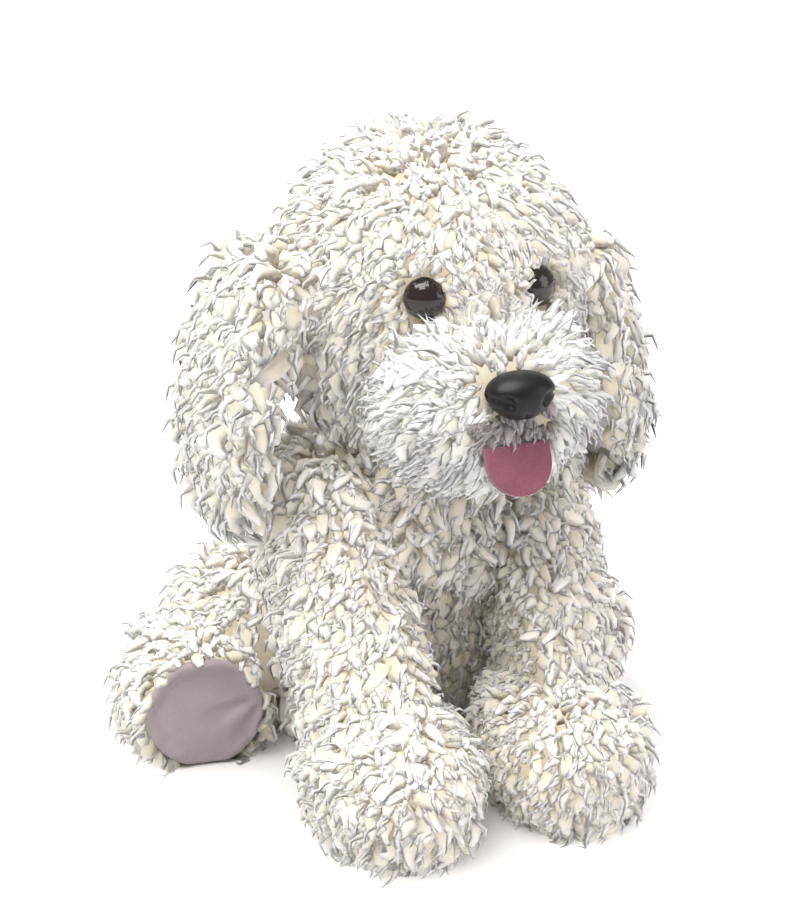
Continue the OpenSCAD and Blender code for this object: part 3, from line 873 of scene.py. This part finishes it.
def solePad(side):
    mesh = cadNodes[f"hind_{side}_sole"].data
    co = points(mesh)
    centre = (co.min(axis=0) + co.max(axis=0)) / 2
    _, _, axes = np.linalg.svd(co - co.mean(axis=0), full_matrices=False)
    out = axes[2] if axes[2][1] < 0 else -axes[2]
    out = unit(np.array([out[0], out[1], 0.0]))
    across = np.array([-out[1], out[0], 0.0])
    radius = (co @ across).max() - (co @ across).min()
    radius = radius / 2 - 0.2 * mm
    face = (co @ out).max()
    middleZ = co[:, 2].max() - radius
    base = np.array([centre[0], centre[1], middleZ])
    base += out * (face - base @ out - pad["back"])
    bm = bmesh.new()
    loops = []
    for r in range(1, pad["rings"] + 1):
        rho = r / pad["rings"]
        ring = []
        for k in range(pad["segments"]):
            a = 2 * math.pi * k / pad["segments"]
            rise = np.array([0, 0, radius * rho * math.sin(a)])
            place = base + across * (radius * rho * math.cos(a)) + rise
            place[2] = max(place[2], 1.2 * mm)
            ring.append(bm.verts.new(place + out * (pad["back"] + pad["crown"] * (1 - rho ** 2.6))))
        loops.append(ring)
    top = bm.verts.new(base + out * (pad["back"] + pad["crown"]))
    rim = [bm.verts.new(np.array(v.co) - out * pad["back"]) for v in loops[-1]]
    low = bm.verts.new(base)
    n = pad["segments"]
    for k in range(n):
        bm.faces.new((top, loops[0][k], loops[0][(k + 1) % n]))
        bm.faces.new((low, rim[(k + 1) % n], rim[k]))
        for inner, outer in zip(loops, loops[1:] + [rim]):
            bm.faces.new((inner[k], outer[k], outer[(k + 1) % n], inner[(k + 1) % n]))
    bmesh.ops.recalc_face_normals(bm, faces=bm.faces)
    mesh = bpy.data.meshes.new(f"hind_{side}_sole_pad")
    bm.to_mesh(mesh)
    held = [v.index for v in loops[-1] + rim + [low]]
    bm.free()
    obj = addObject(mesh.name, mesh)
    group = obj.vertex_groups.new(name="held")
    group.add(held, 1.0, "REPLACE")
    start = points(mesh)
    cloth = obj.modifiers.new("filling", "CLOTH")
    cloth.settings.quality = 6
    cloth.settings.vertex_group_mass = "held"
    cloth.settings.use_pressure = True
    cloth.settings.uniform_pressure_force = pad["pressure"]
    cloth.settings.shrink_min = -pad["slack"]
    cloth.settings.bending_stiffness = 0.4
    cloth.settings.effector_weights.gravity = 0
    cloth.point_cache.frame_start, cloth.point_cache.frame_end = 1, pad["frames"]
    for frameNumber in range(1, pad["frames"] + 1):
        bpy.context.scene.frame_set(frameNumber)
    applyModifiers(obj)
    bpy.context.scene.frame_set(1)
    moved = points(obj.data) - start
    outward = moved @ out
    # the cloth sinks in, so its face is held near the crown it started with
    moved += np.outer(np.maximum(0, -pad["mostSag"] - outward), out)
    far = np.linalg.norm(moved, axis=1, keepdims=True)
    co = start + moved * np.minimum(1, pad["mostMove"] / np.maximum(far, 1e-9))
    obj.data.vertices.foreach_set("co", co.ravel())
    subdivide(obj, 1)
    foldPad(obj.data, base, across, out, radius, -1 if side == "left" else 1)
    print("sole pad", side, "most moved", round(float(far.max()) * 1000, 1), "mm")
    return obj


def foldPad(mesh, base, across, out, radius, inwards):
    # slack folds that run from the inner edge down into the middle
    co = points(mesh)
    u = (co - base) @ across / radius * inwards
    v = (co[:, 2] - base[2]) / radius
    height = (co - base) @ out
    du, dv = 1.05 - u, 0.28 - v
    away = np.hypot(du, dv)
    angle = np.arctan2(dv, du)
    strength = np.clip((away - 0.15) / 0.3, 0, 1) * np.clip((1.35 - away) / 0.7, 0, 1)
    strength *= np.clip((angle + 0.1) / 0.3, 0, 1) * np.clip((1.5 - angle) / 0.4, 0, 1)
    strength *= np.clip(height / (2 * mm), 0, 1)
    wave = np.cos(pad["folds"] * angle + 0.8 * np.sin(3 * away))
    ridge = np.sign(wave) * np.abs(wave) ** 0.7
    co += out * (pad["foldDepth"] * strength * ridge)[:, None]
    co[:, 2] = np.maximum(co[:, 2], 0.6 * mm)
    mesh.vertices.foreach_set("co", co.ravel())
    mesh.update()


def subdivide(obj, levels):
    mod = obj.modifiers.new("rounding", "SUBSURF")
    mod.levels = mod.render_levels = levels
    applyModifiers(obj)
    smoothShade(obj.data)


for side in ("right", "left"):
    sole = solePad(side)
    sole.data.materials.append(velour)
    finishPiece(sole, f"hind_{side}_leg", [f"hind_{side}_sole"])


# nose: moulded, with a flattened top and comma nostrils
noseShape = {"turns": 64, "rows": 40, "squareness": 2.6, "flat": 0.82, "nostrilDepth": 2.6 * mm,
             "nostrilPlace": (0.60, -0.62, -0.12), "grooveDepth": 0.7 * mm}


def makeNose():
    low, high = (np.array(c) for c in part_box("nose"))
    width = (high[0] - low[0]) / 2
    front, height = low[1], (high[2] - low[2]) / 2
    centre = np.array([0, 0, (low[2] + high[2]) / 2])
    size = np.array([width, height * 0.98, height])
    centre[1] = front + size[1]
    bm = bmesh.new()
    bmesh.ops.create_uvsphere(bm, u_segments=noseShape["turns"], v_segments=noseShape["rows"], radius=1.0)
    mesh = bpy.data.meshes.new("moulded_nose")
    bm.to_mesh(mesh)
    bm.free()
    p = points(mesh)
    power = 2 / noseShape["squareness"]
    q = np.sign(p) * np.abs(p) ** power
    q = q / np.maximum(np.linalg.norm(q, axis=1, keepdims=True), 1e-9) ** 0.75
    q[:, 0] *= 1 - 0.22 * np.clip(-q[:, 2], 0, 1)             # narrower below
    q[:, 2] = np.where(q[:, 2] > 0, q[:, 2] * noseShape["flat"], q[:, 2])
    q /= np.abs(q).max(axis=0)
    outwards = unit(p)
    dent = np.zeros(len(q))
    for s in (-1, 1):
        nx, ny, nz = noseShape["nostrilPlace"]
        d = np.hypot((q[:, 0] - s * nx) / 0.2, (q[:, 2] - nz - 0.35 * (s * q[:, 0] - nx)) / 0.26)
        comma = np.hypot((q[:, 0] - s * (nx + 0.22)) / 0.22, (q[:, 2] - nz - 0.12) / 0.1)
        hole = np.maximum(np.exp(-d ** 4), 0.7 * np.exp(-comma ** 4))
        dent += noseShape["nostrilDepth"] * hole * (q[:, 1] < 0.25)
    groove = np.exp(-(q[:, 0] / 0.05) ** 2) * np.clip(-q[:, 2] * 1.4, 0, 1) * (q[:, 1] < 0.1)
    dent += noseShape["grooveDepth"] * groove
    co = centre + q * size - outwards * dent[:, None]
    mesh.vertices.foreach_set("co", co.ravel())
    smoothShade(mesh)
    return addObject("moulded_nose", mesh)


nose = makeNose()
nosePlastic, tree, shader = newMaterial("nosePlastic", **{
    "Roughness": 0.42, "Coat Weight": 0.05, "Coat Roughness": 0.25, "Specular IOR Level": 0.35})
g = addGroup(tree, nap, Pile=(0.007, 0.005, 0.006, 1), Shadow=(0.003, 0.002, 0.003, 1),
             Grain=900.0, Patches=120.0, Contrast=0.7)
wire(tree, g.outputs["Colour"], shader.inputs["Base Color"])
addBump(tree, shader, g.outputs["Height"], 0.25, 0.15 * mm)
nose.data.materials.append(nosePlastic)
finishPiece(nose, "head", ["nose"])
print("nose done")


# eyes: dark iris and pupil under a glossy dome
eyeShape = {"radius": 7.6 * mm, "pupil": 0.48, "iris": 0.80}


def irisGroup():
    tree, gi, go = groupTree("ShaderNodeTree", "irisRings", [
        ("Centre", "NodeSocketVector", (0, 0, 0)), ("Axis", "NodeSocketVector", (0, 0, 1)),
        ("Radius", "NodeSocketFloat", 7.6 * mm), ("Pupil", "NodeSocketFloat", 0.48),
        ("Iris", "NodeSocketFloat", 0.8)], [("Colour", "NodeSocketColor")])
    place = node(tree, "ShaderNodeTexCoord").outputs["Object"]
    arm = vectorMath(tree, "SUBTRACT", place, gi.outputs["Centre"])
    across = node(tree, "ShaderNodeVectorMath", operation="CROSS_PRODUCT")
    wire(tree, arm, across.inputs[0])
    wire(tree, gi.outputs["Axis"], across.inputs[1])
    length = node(tree, "ShaderNodeVectorMath", operation="LENGTH")
    wire(tree, across.outputs[0], length.inputs[0])
    rho = floatMath(tree, "DIVIDE", length.outputs["Value"], gi.outputs["Radius"])
    fleck = noise(tree, place, 900.0, 2.0, 0.6)
    inIris = node(tree, "ShaderNodeMapRange")
    wire(tree, rho, inIris.inputs["Value"])
    wire(tree, gi.outputs["Pupil"], inIris.inputs["From Min"])
    wire(tree, floatMath(tree, "ADD", gi.outputs["Pupil"], 0.06), inIris.inputs["From Max"])
    beyondIris = node(tree, "ShaderNodeMapRange")
    wire(tree, rho, beyondIris.inputs["Value"])
    wire(tree, gi.outputs["Iris"], beyondIris.inputs["From Min"])
    wire(tree, floatMath(tree, "ADD", gi.outputs["Iris"], 0.1), beyondIris.inputs["From Max"])
    brown = mixColour(tree, fleck, (0.022, 0.011, 0.007, 1), (0.009, 0.005, 0.004, 1))
    inner = mixColour(tree, inIris.outputs["Result"], (0.002, 0.002, 0.003, 1), brown)
    outer = mixColour(tree, beyondIris.outputs["Result"], inner, (0.010, 0.008, 0.008, 1))
    wire(tree, outer, go.inputs["Colour"])
    return tree


irisRings = irisGroup()
for side in ("right", "left"):
    eyeNode = cadNodes[f"{side}_eye"]
    co = points(eyeNode.data)
    weights = co - co.mean(axis=0)
    axis = unit(np.linalg.svd(weights, full_matrices=False)[2][0])
    axis = axis if axis[1] < 0 else -axis
    centre = co[np.argmax(co @ axis)]
    eyeGloss, tree, shader = newMaterial(f"{side}EyeGloss", **{
        "Roughness": 0.12, "Coat Weight": 0.5, "Coat Roughness": 0.03})
    g = addGroup(tree, irisRings, Centre=tuple(centre), Axis=tuple(axis), Radius=eyeShape["radius"],
                 Pupil=eyeShape["pupil"], Iris=eyeShape["iris"])
    wire(tree, g.outputs["Colour"], shader.inputs["Base Color"])
    eyeNode.data.materials.clear()
    eyeNode.data.materials.append(eyeGloss)


# small parts that stay as they are
finishes = {"closing_stitches": thread, "sewn_label": ribbon, "neck_seam": thread, "bean_pouch": pouchCloth,
            "bean_pellets": washerPlastic, "right_eye_washer": washerPlastic,
            "left_eye_washer": washerPlastic, "nose_washer": washerPlastic, "mouth_stitch": blackThread,
            "tongue": felt}
for name, finish in finishes.items():
    cadNodes[name].data.materials.clear()
    cadNodes[name].data.materials.append(finish)


# floor, lights and camera
studio = {"cameraTurn": -22.5, "cameraRise": 20.0, "distance": 850 * mm,
          "target": (-5.5 * mm, -16 * mm, 123 * mm), "lens": 83.8}


def aimAt(obj, place, target):
    obj.location = place
    obj.rotation_euler = (Vector(target) - Vector(place)).to_track_quat("-Z", "Y").to_euler()


def addLight(name, kind, place, size, power, colour):
    data = bpy.data.lights.new(name, kind)
    if kind == "AREA":
        data.shape, data.size = "DISK", size
    else:
        data.angle = size
    data.energy = power
    data.color = colour
    light = bpy.data.objects.new(name, data)
    bpy.context.scene.collection.objects.link(light)
    aimAt(light, place, (0, 0, 0.12))


addLight("key", "SUN", (-0.42, -0.2, 1.5), 1.0, 4.4, (1.0, 0.985, 0.95))
addLight("fill", "AREA", (1.2, -1.0, 0.6), 1.0, 4.5, (0.98, 0.92, 1.0))
addLight("rim", "AREA", (0.3, 1.0, 1.2), 0.9, 5, (1.0, 1.0, 1.0))

floorMesh = bpy.data.meshes.new("floor")
floorMesh.from_pydata([(-4, -4, 0), (4, -4, 0), (4, 4, 0), (-4, 4, 0)], [], [(0, 1, 2, 3)])
floor = addObject("floor", floorMesh)
floorFinish, tree, shader = newMaterial("floorPaint", **{
    "Base Color": (0.75, 0.75, 0.76, 1), "Roughness": 0.75})
floorMesh.materials.append(floorFinish)

world = bpy.data.worlds.new("studio")
world.use_nodes = True
world.node_tree.nodes["Background"].inputs["Color"].default_value = (0.98, 0.96, 0.94, 1)
world.node_tree.nodes["Background"].inputs["Strength"].default_value = 0.38
bpy.context.scene.world = world
bpy.context.scene.view_settings.view_transform = "Standard"      # whites stay white

turn, rise = math.radians(studio["cameraTurn"]), math.radians(studio["cameraRise"])
back = Vector((math.sin(turn) * math.cos(rise), -math.cos(turn) * math.cos(rise), math.sin(rise)))
cameraData = bpy.data.cameras.new("camera")
cameraData.sensor_width = 36
cameraData.lens = studio["lens"]
camera = bpy.data.objects.new("camera", cameraData)
bpy.context.scene.collection.objects.link(camera)
aimAt(camera, Vector(studio["target"]) + back * studio["distance"], studio["target"])
bpy.context.scene.camera = camera
print("studio done")
